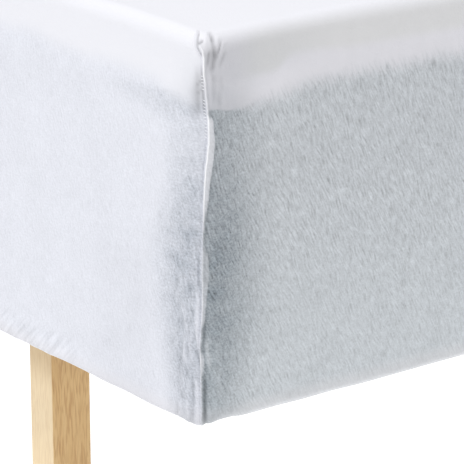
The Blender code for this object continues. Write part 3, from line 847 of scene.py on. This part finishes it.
def stitching_tree():
    """Lays a rounded bit of thread at every pitch along the paths that it is given."""
    tree = bpy.data.node_groups.new("stitching", "GeometryNodeTree")
    inputs = {"Paths": "Geometry", "Pitch": "Float", "Length": "Float", "Thickness": "Float",
              "Lean": "Float", "Thread": "Material"}
    for name, kind in inputs.items():
        tree.interface.new_socket(name, in_out="INPUT", socket_type="NodeSocket" + kind)
    tree.interface.new_socket("Stitches", in_out="OUTPUT", socket_type="NodeSocketGeometry")
    nodes = Nodes(tree)
    paths = nodes.node("NodeGroupInput", {}, {}, "Paths")
    pitch, length, thickness, lean, thread = (paths.other(name) for name in list(inputs)[1:])

    curve = nodes.node("GeometryNodeMeshToCurve", {}, {0: paths})
    points = nodes.node("GeometryNodeCurveToPoints", {"mode": "LENGTH"},
                        {"Curve": curve, "Length": pitch})
    outward = nodes.node("GeometryNodeInputNamedAttribute", {"data_type": "FLOAT_VECTOR"},
                         {"Name": "outward"}, "Attribute")
    facing = nodes.node("FunctionNodeAxesToRotation", {"primary_axis": "X", "secondary_axis": "Z"},
                        {0: points.other("Tangent"), 1: outward})
    own_turn = nodes.node("GeometryNodeInputNamedAttribute", {"data_type": "FLOAT"},
                          {"Name": "turn"}, "Attribute")
    random_lean = nodes.node("FunctionNodeRandomValue", {"data_type": "FLOAT"},
                             {2: lean * -1.0, 3: lean, "Seed": STITCH_SEED}, 1)
    turn = nodes.node("ShaderNodeCombineXYZ", {}, {"Z": random_lean + own_turn})
    as_rotation = nodes.node("FunctionNodeEulerToRotation", {}, {0: turn})
    leaning = nodes.node("FunctionNodeRotateRotation", {"rotation_space": "LOCAL"},
                         {0: facing, 1: as_rotation})
    bead = nodes.node("GeometryNodeMeshUVSphere", {},
                      {"Segments": STITCH_SEGMENTS, "Rings": STITCH_RINGS, "Radius": 0.5})
    size = nodes.node("ShaderNodeCombineXYZ", {}, {"X": length, "Y": thickness, "Z": thickness})
    laid = nodes.node("GeometryNodeInstanceOnPoints", {},
                      {"Points": points, "Instance": bead, "Rotation": leaning, "Scale": size})
    real = nodes.node("GeometryNodeRealizeInstances", {}, {0: laid})
    smooth = nodes.node("GeometryNodeSetShadeSmooth", {}, {0: real})
    finished = nodes.node("GeometryNodeSetMaterial", {}, {"Geometry": smooth, "Material": thread})
    nodes.node("NodeGroupOutput", {}, {0: finished})
    return tree


def lay_stitches(paths, tree, sizes, thread):
    """Runs the tree on an object of paths and leaves its plain mesh."""
    modifier = paths.modifiers.new("stitching", "NODES")
    modifier.node_group = tree
    values = {**sizes, "Thread": thread}
    for item in tree.interface.items_tree:
        if item.in_out == "INPUT" and item.name in values:
            modifier[item.identifier] = values[item.name]
    evaluated = paths.evaluated_get(bpy.context.evaluated_depsgraph_get())
    mesh = bpy.data.meshes.new_from_object(evaluated)
    paths.modifiers.remove(modifier)
    mesh.name = paths.name
    paths.data = mesh
    return paths


def make_seam_stitches(cloth, tree, thread):
    """The stitches that wrap each corner seam's edge where it is turned outwards."""
    paths = []
    for number, corner in enumerate(CORNERS):
        here = np.flatnonzero((cloth.number == number) & (cloth.station <= 0.0))
        nearest = here[np.argmin(np.abs(cloth.station[here] - SEAM_STITCH_STATION))]
        for first, last in SEAM_STITCHED:
            drops = np.arange(first, last, PATH_STEP)
            points, normals = (found[:, 0] for found in cloth.face(drops, np.array([nearest]))[:2])
            points = points + SEAM_STITCH_LIFT * normals
            paths.append((points, normals, corner.hand * SEAM_STITCH_TURN))
    return lay_stitches(join_paths("seam_stitches", paths), tree, SEAM_STITCHES, thread)


def make_hem_stitches(cloth, tree, thread):
    """A row of stitches round the folded hem."""
    points, normals = (found[0] for found in cloth.face([DROP_OF_HEM - HEM_STITCH_FROM_EDGE])[:2])
    points = np.concatenate([points, points[:1]])
    normals = np.concatenate([normals, normals[:1]])
    path = points + HEM_STITCH_LIFT * normals, normals, 0.0
    return lay_stitches(join_paths("hem_stitches", [path]), tree, HEM_STITCHES, thread)


# Finishes

class Finish(Nodes):
    """A material with one Principled shader, and the nodes that feed it."""

    def __init__(self, name, **constants):
        self.material = bpy.data.materials.new(name)
        self.material.use_nodes = True
        super().__init__(self.material.node_tree)
        self.shader = self.tree.nodes["Principled BSDF"]
        self.set(**constants)

    def attribute(self, name):
        return self.node("ShaderNodeAttribute", {"attribute_name": name}, {}, "Fac")

    def separate(self, vector, part):
        return self.node("ShaderNodeSeparateXYZ", {}, {0: vector}, part)

    def place(self, stretch=(1.0, 1.0, 1.0)):
        here = self.node("ShaderNodeTexCoord", {}, {}, "Object")
        return self.node("ShaderNodeVectorMath", {"operation": "MULTIPLY"}, {0: here, 1: stretch})

    def at(self, x, y):
        return self.node("ShaderNodeCombineXYZ", {}, {"X": x, "Y": y})

    def noise(self, place, scale=1.0, detail=2.0, roughness=0.5):
        """Noise from -1 to 1, mostly within half of that."""
        found = self.node("ShaderNodeTexNoise", {}, {
            "Vector": place, "Scale": scale, "Detail": detail, "Roughness": roughness})
        return found * 2.0 - 1.0

    def mix(self, share, first, second):
        return self.node("ShaderNodeMix", {"data_type": "RGBA"}, {0: share, 6: first, 7: second}, 2)

    def tint(self, colour, other):
        return self.node("ShaderNodeMix", {"data_type": "RGBA", "blend_type": "MULTIPLY"},
                         {0: 1.0, 6: colour, 7: other}, 2)

    def grey(self, value):
        """A number as a grey colour."""
        return self.node("ShaderNodeCombineColor", {}, {0: value, 1: value, 2: value})

    def bump(self, height, distance, strength=0.4):
        return self.node("ShaderNodeBump", {}, {
            "Height": height, "Distance": distance, "Strength": strength})

    def set(self, **values):
        for key, value in values.items():
            self.feed(self.shader.inputs[key.replace("_", " ")], value)
        return self.material


# Colours of the sheet, and what is left of its whiteness on the sides: over the pad, where the base
# shows through it, and along its lower edge. The long side's are painted lighter and the end's
# darker, as a lit and a shaded side; the lower edge holds painted light from below, and the seam's
# edge a painted highlight
SHEET_WHITE = (0.862, 0.860, 0.900)
# painted highlight: the seam's white edge is whiter than the cloth itself
EDGE_WHITE_AND_HIGHLIGHT = (0.990, 0.990, 1.000)
# painted light: the long side's band and see-through colours are lighter than the end's
LONG_SIDE_BAND_LIT = (0.877, 0.882, 0.887)
LONG_SIDE_THROUGH_LIT = (0.808, 0.825, 0.850)
# painted light from below on the long side's lower rim
LONG_SIDE_RIM_LIT = (0.818, 0.820, 0.830)
# painted shade: the end's band and see-through colours are darker than the long side's, more so
# under the roll and at the corner
END_BAND_IN_SHADE = (0.826, 0.820, 0.822)
END_BAND_SHADED = (0.780, 0.780, 0.752)
END_BAND_CORNER_SHADE = (0.783, 0.776, 0.776)
END_THROUGH_IN_SHADE = (0.610, 0.639, 0.639)
# painted light from the floor on the end's lower part
END_THROUGH_LOW_FLOOR_LIT = (0.662, 0.700, 0.698)
# painted light from below on the end's lower rim
END_RIM_LIT = (0.738, 0.754, 0.742)
WHITE = (1.0, 1.0, 1.0)
RIM_HEIGHT = 0.013  # of the rim's painted light from below, above the side's foot, and how far it goes on past it
RIM_PAST_FOOT = 0.002
SIDE_BLEND = 0.0006  # distance from the seam over which the two sides' colours blend

# How dark the cloth looks near a corner at each drop, where it is pressed on what lies under it so
# that the base shows through more, and where painted shade of the corner and of the seam's ridge
# lies on it, also over the pad: how much darker it looks on the end and on the long side, and how
# far that reaches on the long side
Press = namedtuple("Press", "drop end side side_reach")
PRESS_AND_SHADE = table(
    Press,
    (0.000, 0.00, 0.00, 0.040),
    (0.014, 0.15, 0.02, 0.040),
    (0.034, 0.20, 0.06, 0.040),
    (0.046, 0.23, 0.10, 0.045),
    (0.054, 0.26, 0.17, 0.150),
    (0.060, 0.31, 0.18, 0.150),
    (0.067, 0.31, 0.12, 0.130),
    (0.076, 0.31, 0.13, 0.055),
    (0.094, 0.31, 0.15, 0.055),
    (0.120, 0.36, 0.265, 0.050),
    (0.180, 0.54, 0.385, 0.078),
    (0.250, 0.50, 0.35, 0.074),
    (0.290, 0.42, 0.34, 0.062),
    (0.345, 0.32, 0.24, 0.050),
)
REACH_SCALE = 5.0  # the colour ramp, which goes up to 1, holds the reach so many times larger
PRESS_AND_SHADE_END_REACH = 0.086  # how far it reaches on the end, halfway down
PRESS_AND_SHADE_SIDE_START = 0.016
PRESS_AND_SHADE_TINT = (0.08, 0.14, 0.18)  # what is left where the press and painted shade are 1
HOLLOW_SHADE = 0.42  # painted shade: how much darker the deepest fold is

# The cloth's streaks: their run aside for each drop, their width and their length
Streak = namedtuple("Streak", "slope width length")
STEEP_STREAK = Streak(0.58, 0.0019, 0.0110)
UPRIGHT_STREAK = Streak(0.34, 0.0019, 0.0110)
TUFT = Streak(0.58, 0.0034, 0.0150)  # of the edge where the base begins to show through
PULL = Streak(-1.0, 0.0062, 0.0450)  # above the leg
STREAK_SKEW = 0.5  # how much more the dark streaks stand out than the pale ones
STREAK_TURNS = 1.6  # how sharply the two sets of streaks take turns
MOTTLE_STRETCH = 0.7
MOTTLE_SCALE = 560.0
PATCH_SCALE = 75.0
CLOUD_SCALE = 22.0

# How strong a grain is on the long side and on the end, and what a press of 1 adds to it there
Grain = namedtuple("Grain", "side end side_pressed end_pressed")
STREAKS = Grain(0.13, 0.47, 0.62, 0.45)
MOTTLES = Grain(0.11, 0.17, 0.80, 0.68)
CLOUD_GRAIN = 0.05
PATCH_GRAIN = 0.07  # on the end only
PATCH_TONE = 0.035  # on the end, over the pad as well
# painted light and shade along the pulls above the leg
PULL_LIGHT_AND_SHADE = 0.22
PULL_HEIGHT = 3.0  # of the pulls, as a share of the bump's distance

# How much of one thing another takes away
LAYERS_LESS_PRESS_AND_SHADE = 0.9
# ridges lose some of the painted shade, so their crests look lighter
RIDGES_LESS_PRESS_AND_SHADE = 0.8
LAYERS_LESS_THROUGH = 0.85
LAYERS_LESS_BAND = 0.7
RIM_LESS_GRAIN = 0.6

# What comes in smoothly from one place to another, and how much of it there is in the end. The
# places are distances from the seam, but for those that are named as drops.
Fade = namedtuple("Fade", "start stop share", defaults=(1.0,))
PULLS_START = Fade(0.16, 0.21)
PULLS_END = Fade(0.32, 0.38)
PULLS_DROP = Fade(0.304, 0.320)
PRESS_AND_SHADE_WIDTH = 1.9  # how many times as far the press and painted shade reach on the end's top
PRESS_AND_SHADE_NARROWS_DROP = Fade(0.020, 0.050, 0.9)
PRESS_AND_SHADE_NARROWS_LOW_DROP = Fade(0.24, 0.33, 0.3)
CLOUDS = 0.4  # how uneven the press and painted shade are, in broad clouds
SPOTS = 0.5  # and in patches
SIDE_SPOTS = 0.35  # more of that on the long side, as far down as the next drop
SIDE_SPOTS_END_DROP = Fade(0.19, 0.25)
SAG = 0.0088  # how far below its top the base's tone begins, at the end's corner
SAG_GROWS = Fade(0.006, 0.026, 0.0032)
SAG_ENDS = Fade(0.024, 0.125)
LIFT_GROWS = Fade(0.015, 0.075, 0.0105)  # how far above its top it begins, on the long side
LIFT_GROWS_FAR = Fade(0.19, 0.27, 0.004)
TUFTS_GROW = Fade(0.012, 0.060, 0.006)
UNEVEN_GROWS = Fade(0.0, 0.050, 0.004)
FUZZ = 0.0100  # how soft the edge of that tone is
FUZZ_ABOVE = -0.6  # where it starts above the edge and ends below it, as shares of that
FUZZ_BELOW = 1.3
FUZZ_LESS = 0.0085  # how much sharper it is near the end's corner
FUZZ_RETURNS = Fade(0.020, 0.080)
THROUGH_LIGHTENS_DROP = Fade(0.10, 0.34)  # painted light from the floor: the end's see-through colour lightens between these drops, from the upper to the lower colour
STREAKS_FADE_DROP = Fade(0.17, 0.27)
STREAKS_FADE = 0.12  # share of the end's streaks that is gone below that, at the corner
STREAKS_FADE_MORE = Fade(0.040, 0.110, 0.18)
SHADE_FOOT = 0.0373  # drop of the foot of the band's shaded part
SHADE_RISES = Fade(0.074, 0.097, 0.0105)
SHADE_FALLS = Fade(0.110, 0.170, 0.0035)
SHADE_BLEND = 0.0052
LIT_AT_CORNER = 0.45  # how far the band is lit below that, at the corner
LIT_GROWS = Fade(0.028, 0.058, 0.55)
CORNER_TONE_ENDS = Fade(0.028, 0.065)
# painted light on the end band's palest stretch
PALEST_LIGHT = 0.024
PALEST_LIGHT_STARTS = Fade(0.042, 0.066)
PALEST_LIGHT_ENDS = Fade(0.078, 0.104, 1.5)
SIDE_STARTS_DROP = Fade(-0.008, 0.014)
# painted shade low on the long side
SOFT_SHADE_STARTS = Fade(0.040, 0.080)
SOFT_SHADE_ENDS = Fade(0.120, 0.190)
SOFT_SHADE_DROP = Fade(0.15, 0.23, 0.045)


class Jersey(Finish):
    """The sheet's finish. Its parts share the place on the cloth and the cloth's attributes."""

    def __init__(self):
        super().__init__("sheet_jersey", Roughness=0.88, Sheen_Weight=0.12, Sheen_Roughness=0.5,
                         Specular_IOR_Level=0.25)
        cloth_map = self.node("ShaderNodeUVMap", {"uv_map": "cloth"}, {})
        self.around = self.separate(cloth_map, "X")
        self.drop = self.around.other("Y")
        station = self.attribute("station")
        self.from_seam = abs(station)
        self.end = station.between(-SIDE_BLEND, SIDE_BLEND)
        self.long_side = 1.0 - self.end
        self.layers = self.attribute("layers")
        self.fold = self.attribute("fold")
        here = self.at(self.around, self.drop)
        self.cloud = self.noise(here, scale=CLOUD_SCALE)
        self.patches = self.noise(here, scale=PATCH_SCALE, detail=3.0)
        self.below_edge = self.drop.fade(SIDE_STARTS_DROP)

    def within(self, starts, ends):
        """What comes in at one distance from the seam and goes again at another."""
        return self.from_seam.fade(starts) * (1.0 - self.from_seam.fade(ends))

    def slanted(self, streak):
        """Noise drawn out into slanted streaks."""
        across = (self.around - self.drop * streak.slope) * (1.0 / streak.width)
        along = (self.drop + self.around * streak.slope) * (1.0 / streak.length)
        return self.noise(self.at(across, along), detail=1.0)

    def streaks(self):
        """Two sets of streaks, which take turns over the cloth."""
        share = (0.5 + STREAK_TURNS * self.patches).between(0.0, 1.0)
        streaks = self.slanted(STEEP_STREAK) * share + self.slanted(UPRIGHT_STREAK) * (1.0 - share)
        return streaks * (1.0 - STREAK_SKEW * streaks)

    def pulls(self):
        """Slanted pulls in the long side above the leg."""
        above_leg = self.within(PULLS_START, PULLS_END) * self.drop.fade(PULLS_DROP)
        return self.slanted(PULL) * above_leg * self.long_side

    def press(self):
        """How hard the cloth is pressed on the base, with painted shade near the corner and beside
        the seam.
        """
        graph = self.node("ShaderNodeValToRGB", {"stops": [
            (row.drop / DROP_OF_HEM, (row.end, row.side, REACH_SCALE * row.side_reach))
            for row in PRESS_AND_SHADE]}, {0: self.drop * (1.0 / DROP_OF_HEM)})
        end_press_and_shade = self.node("ShaderNodeSeparateColor", {}, {0: graph})
        side_press_and_shade, side_reach = end_press_and_shade.other(1), end_press_and_shade.other(2) * (1.0 / REACH_SCALE)
        end_reach = PRESS_AND_SHADE_END_REACH * (PRESS_AND_SHADE_WIDTH - self.drop.fade(PRESS_AND_SHADE_NARROWS_DROP)
                                       - self.drop.fade(PRESS_AND_SHADE_NARROWS_LOW_DROP))
        end_press_and_shade = end_press_and_shade * (1.0 - self.from_seam.between(0.0, end_reach))
        side_press_and_shade = side_press_and_shade * (1.0 - self.from_seam.between(PRESS_AND_SHADE_SIDE_START, side_reach))
        spots = SPOTS + SIDE_SPOTS * self.long_side * (1.0 - self.drop.fade(SIDE_SPOTS_END_DROP))
        press = side_press_and_shade + self.end * (end_press_and_shade - side_press_and_shade)
        press = press * (1.0 + spots * self.patches + CLOUDS * self.cloud)
        ridges = self.fold.at_least(0.0)
        return press * (1.0 - LAYERS_LESS_PRESS_AND_SHADE * self.layers) * (1.0 - RIDGES_LESS_PRESS_AND_SHADE * ridges)

    def base_shows(self):
        """How far the base shows through the cloth: 0 over the pad, 1 below the base's top."""
        sag = (SAG + self.from_seam.fade(SAG_GROWS)) * self.end
        sag = sag * (1.0 - self.from_seam.fade(SAG_ENDS))
        lift = self.from_seam.fade(LIFT_GROWS) + self.from_seam.fade(LIFT_GROWS_FAR)
        tufted = self.slanted(TUFT) * self.end * self.from_seam.fade(TUFTS_GROW)
        below = self.drop - DROP_OF_BASE_TOP - sag + lift * self.long_side
        below = below - self.cloud * self.from_seam.fade(UNEVEN_GROWS) - tufted
        fuzz = FUZZ - FUZZ_LESS * self.end * (1.0 - self.from_seam.fade(FUZZ_RETURNS))
        shows = below.between(FUZZ_ABOVE * fuzz, FUZZ_BELOW * fuzz)
        return shows * (1.0 - LAYERS_LESS_THROUGH * self.layers)

    def band(self):
        """The tone over the pad, painted lighter on the long side and darker on the end, and where
        the end's is lit below its painted soft shade.
        """
        foot = SHADE_FOOT - self.from_seam.fade(SHADE_RISES) + self.from_seam.fade(SHADE_FALLS)
        lit = (self.drop - foot).between(-SHADE_BLEND, SHADE_BLEND)
        lit = lit * (LIT_AT_CORNER + self.from_seam.fade(LIT_GROWS))
        shaded = self.mix(self.from_seam.fade(CORNER_TONE_ENDS), END_BAND_CORNER_SHADE, END_BAND_SHADED)
        band = self.mix(self.end, LONG_SIDE_BAND_LIT, self.mix(lit, shaded, END_BAND_IN_SHADE))
        on_side = self.below_edge * (1.0 - LAYERS_LESS_BAND * self.layers)
        return self.mix(on_side, WHITE, band), lit

    def strength(self, grain, press):
        """How strong a kind of grain is."""
        pressed = grain.side_pressed + (grain.end_pressed - grain.side_pressed) * self.end
        return grain.side + (grain.end - grain.side) * self.end + pressed * press

    def grain(self, press, shows, rim_light):
        """Streaks and mottles, strongest where the cloth is pressed on the base."""
        mottle = self.noise(self.at(self.around * MOTTLE_STRETCH, self.drop), scale=MOTTLE_SCALE,
                            detail=1.0, roughness=0.6)
        fading = STREAKS_FADE + self.from_seam.fade(STREAKS_FADE_MORE)
        fading = 1.0 - self.end * self.drop.fade(STREAKS_FADE_DROP) * fading
        grain = self.strength(STREAKS, press) * fading * self.streaks()
        grain = grain + self.strength(MOTTLES, press) * mottle
        grain = grain + CLOUD_GRAIN * self.cloud + PATCH_GRAIN * self.end * self.patches
        return grain * shows * (1.0 - RIM_LESS_GRAIN * rim_light)

    def uneven_tone_and_light(self, shows, lit):
        """Pale and dark stretches: patches on the end, painted light on its palest band, and
        painted shade low on the long side.
        """
        patches = PATCH_TONE * self.patches * self.end * self.below_edge
        palest_light = self.within(PALEST_LIGHT_STARTS, PALEST_LIGHT_ENDS) * lit * self.end * (1.0 - shows)
        # painted shade, low on the long side
        slack = self.within(SOFT_SHADE_STARTS, SOFT_SHADE_ENDS) * self.drop.fade(SOFT_SHADE_DROP) * self.long_side
        return patches + PALEST_LIGHT * palest_light - slack


def sheet_jersey():
    """White jersey: white over the pad, heathered grey-blue where the base shows through it, with
    painted light and shade over its sides, corners, folds and seams.
    """
    finish = Jersey()
    pulls, press, shows = finish.pulls(), finish.press(), finish.base_shows()
    band, lit = finish.band()
    # painted light from below along the lower rim of the sides
    rim_light = finish.drop.between(DROP_OF_FOOT - RIM_HEIGHT, DROP_OF_FOOT + RIM_PAST_FOOT)
    # painted light from the floor, lower on the end
    end_through_shaded = finish.mix(finish.drop.fade(THROUGH_LIGHTENS_DROP), END_THROUGH_IN_SHADE, END_THROUGH_LOW_FLOOR_LIT)
    through = finish.mix(finish.end, finish.mix(rim_light, LONG_SIDE_THROUGH_LIT, LONG_SIDE_RIM_LIT),
                         finish.mix(rim_light, end_through_shaded, END_RIM_LIT))
    tone = 1.0 + finish.grain(press, shows, rim_light) + finish.uneven_tone_and_light(shows, lit)
    # painted light and shade along the pulls, besides their bump
    tone = tone + PULL_LIGHT_AND_SHADE * pulls
    # painted shade in the troughs of the folds
    hollow = (finish.fold * -1.0).at_least(0.0)
    # painted light on the long side and painted shade on the end, over the pad and where the base
    # shows through
    colour = finish.tint(SHEET_WHITE, finish.mix(shows, band, through))
    # the base showing through where the cloth is pressed, and painted shade near the corners and
    # beside the seam
    colour = finish.tint(colour, finish.mix(press, WHITE, PRESS_AND_SHADE_TINT))
    colour = finish.tint(colour, finish.grey(tone * (1.0 - HOLLOW_SHADE * hollow)))
    # the seam's white edge, more layers of cloth with a painted highlight
    colour = finish.mix(finish.attribute("edge"), colour, EDGE_WHITE_AND_HIGHLIGHT)

    fibres = finish.noise(finish.place(), scale=900.0)
    knit = finish.noise(finish.place(), scale=420.0, detail=1.0)
    height = fibres * 0.5 + knit * 0.5 + pulls * PULL_HEIGHT
    return finish.set(Base_Color=colour, Normal=finish.bump(height, 0.0006))


# The dark and the pale tone of each of the plain finishes
PAD_TONES = ((0.80, 0.80, 0.79), (0.88, 0.88, 0.88))
BASE_TONES = ((0.20, 0.235, 0.275), (0.46, 0.50, 0.54))
THREAD_TONES = ((0.78, 0.79, 0.82), (0.90, 0.90, 0.92))


def pad_cover():
    """White non-woven cover of the mattress pad."""
    finish = Finish("pad_cover", Roughness=0.92, Sheen_Weight=0.1)
    fibres = finish.noise(finish.place(), scale=420.0, detail=3.0)
    cloud = finish.noise(finish.place(), scale=18.0)
    colour = finish.mix(0.5 + 0.5 * fibres, *PAD_TONES)
    return finish.set(Base_Color=colour, Normal=finish.bump(fibres + cloud, 0.0008))


def base_cover():
    """Heathered grey-blue cover of the base."""
    finish = Finish("base_cover", Roughness=0.9, Sheen_Weight=0.15)
    warp = finish.noise(finish.place((1500.0, 180.0, 180.0)))
    weft = finish.noise(finish.place((180.0, 1500.0, 1500.0)))
    heather = warp * 0.5 + weft * 0.5
    colour = finish.mix(0.5 + 0.9 * heather, *BASE_TONES)
    return finish.set(Base_Color=colour, Normal=finish.bump(heather, 0.0005, 0.5))


def white_thread():
    """Cotton thread, a little glossier than the cloth."""
    finish = Finish("white_thread", Roughness=0.6, Sheen_Weight=0.2)
    twist = finish.noise(finish.place((2500.0, 2500.0, 900.0)))
    colour = finish.mix(0.5 + 0.5 * twist, *THREAD_TONES)
    return finish.set(Base_Color=colour, Normal=finish.bump(twist, 0.0001))


# Colours of the legs: pale and deep grain on the long side's face and on the end's, the flecks, and
# what is left of them at the top, in the base's painted shade. The long side's face is painted
# lighter and the end's darker, as lit and shaded faces of one wood. The grain's stretches are
# upright.
BROAD_GRAIN = (120.0, 120.0, 5.0)
GRAIN_SWAY = (90.0, 90.0, 28.0)
FINE_GRAIN = (620.0, 620.0, 48.0)
LIT_SIDE_GRAIN = ((0.900, 0.718, 0.456), (0.845, 0.657, 0.402))
SHADED_END_GRAIN = ((0.705, 0.473, 0.216), (0.612, 0.378, 0.148))
FLECK_BROWN = (0.40, 0.19, 0.055)
LEG_TOP_SHADE = (0.73, 0.68, 0.60)
LEG_SHADE_HEIGHTS = (0.101, 0.146)  # heights from and to which painted shade darkens the wood towards the base


def leg_beech():
    """Clear-lacquered beech with its grain upright, in wavy lines and short dark flecks, painted
    lighter on faces towards the long sides, darker on faces towards the ends, and with painted
    shade at the top.
    """
    finish = Finish("leg_beech", Roughness=0.42, Coat_Weight=0.12, Coat_Roughness=0.3)
    broad = finish.noise(finish.place(BROAD_GRAIN), detail=3.0)
    sway = finish.noise(finish.place(GRAIN_SWAY), detail=1.0)
    here = finish.place(FINE_GRAIN)
    bent = finish.node("ShaderNodeVectorMath", {"operation": "ADD"},
                       {0: here, 1: finish.at(sway * 1.8, sway * 1.8)})
    lines = finish.noise(bent, detail=1.0)
    flecks = lines.between(-0.20, 0.40)
    facing = finish.node("ShaderNodeNewGeometry", {}, {}, "Normal")
    on_end_face = abs(finish.separate(facing, "Y")).between(0.4, 0.8)
    height = finish.separate(finish.place(), "Z")
    # painted light on faces towards the long sides, painted shade on faces towards the ends
    pale, deep = (finish.mix(on_end_face, side, end) for side, end in zip(LIT_SIDE_GRAIN, SHADED_END_GRAIN))
    colour = finish.mix(0.5 + 1.2 * broad, pale, deep)
    colour = finish.mix(flecks * (0.16 + 0.40 * on_end_face), colour, FLECK_BROWN)
    # painted shade at the top of the leg, under the base
    top_shade = height.between(*LEG_SHADE_HEIGHTS) * (1.0 - 0.7 * on_end_face)
    colour = finish.tint(colour, finish.mix(top_shade, WHITE, LEG_TOP_SHADE))
    return finish.set(Base_Color=colour, Roughness=0.42 + 0.08 * lines,
                      Normal=finish.bump(0.0 - flecks, 0.0002, 0.3))


# Floor, light and camera

FLOOR_SIZE = 60.0
FLOOR_GLOW = 1.20
FLOOR_GREY = (0.10, 0.10, 0.10)
ROOM_LIGHT = 0.59
ROOM_WHITE = (0.97, 0.98, 1.0)
WINDOW_LIGHT = 1.7
WINDOW_TOWARD = (-0.40, -0.02, 0.915)
WINDOW_WIDTH = 18.0  # angle, in degrees, that the window takes up


def make_floor():
    finish = Finish("pale_floor", Roughness=1.0, Specular_IOR_Level=0.0)
    finish.set(Base_Color=FLOOR_GREY, Emission_Color=WHITE, Emission_Strength=FLOOR_GLOW)
    half = FLOOR_SIZE / 2
    corners = [(-half, -half, 0.0), (half, -half, 0.0), (half, half, 0.0), (-half, half, 0.0)]
    mesh = bpy.data.meshes.new("floor")
    mesh.from_pydata(corners, [], [(0, 1, 2, 3)])
    mesh.materials.append(finish.material)
    floor = place_in_scene("floor", mesh)


def make_lights():
    world = bpy.data.worlds.new("room")
    bpy.context.scene.world = world
    world.use_nodes = True
    background = world.node_tree.nodes["Background"]
    background.inputs["Color"].default_value = (*ROOM_WHITE, 1.0)
    background.inputs["Strength"].default_value = ROOM_LIGHT
    light = bpy.data.lights.new("window light", "SUN")
    light.energy = WINDOW_LIGHT
    light.angle = math.radians(WINDOW_WIDTH)
    lamp = place_in_scene("window light", light)
    lamp.rotation_euler = Vector(WINDOW_TOWARD).to_track_quat("Z", "Y").to_euler()


def make_camera():
    camera = bpy.data.cameras.new("photograph")
    camera.sensor_width = SENSOR_WIDTH
    camera.lens = LENS
    camera.clip_end = CAMERA_CLIP_END
    stand = place_in_scene("photograph", camera)
    stand.location = CAMERA_PLACE
    stand.rotation_euler = (math.radians(90.0 - CAMERA_DOWN), 0.0, math.radians(CAMERA_AZIMUTH))
    bpy.context.scene.camera = stand


def main():
    bpy.context.scene.view_settings.view_transform = "Standard"
    make_camera()
    make_lights()
    make_floor()

    thread = white_thread()
    stitching = stitching_tree()
    cloth = Cloth()
    sheet = make_sheet_cloth(cloth, sheet_jersey())
    seam_stitches = make_seam_stitches(cloth, stitching, thread)
    hem_stitches = make_hem_stitches(cloth, stitching, thread)
    pad = make_slab("pad_body", -PAD_INSET, PAD_BOTTOM, PAD_TOP, PAD_EDGE_RADIUS, pad_cover(),
                    crowned=True)
    base = make_slab("base_body", 0.0, BASE_BOTTOM, BASE_TOP, BASE_EDGE_RADIUS, base_cover())

    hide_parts("fitted_sheet")
    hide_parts("mattress_pad")
    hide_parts("mattress_base")
    for piece, slot in ((sheet, "sheet_jersey"), (seam_stitches, "sheet_jersey"),
                        (hem_stitches, "sheet_jersey"), (pad, "pad_cover"), (base, "base_cover")):
        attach(piece, BODY)
    beech = leg_beech()
    for name, node in frame["nodes"].items():
        if name.startswith("leg_"):
            node.data.materials.clear()
            node.data.materials.append(beech)

    CUT_WIDTH * CUT_LENGTH - 4 * CUT_AWAY**2


main()
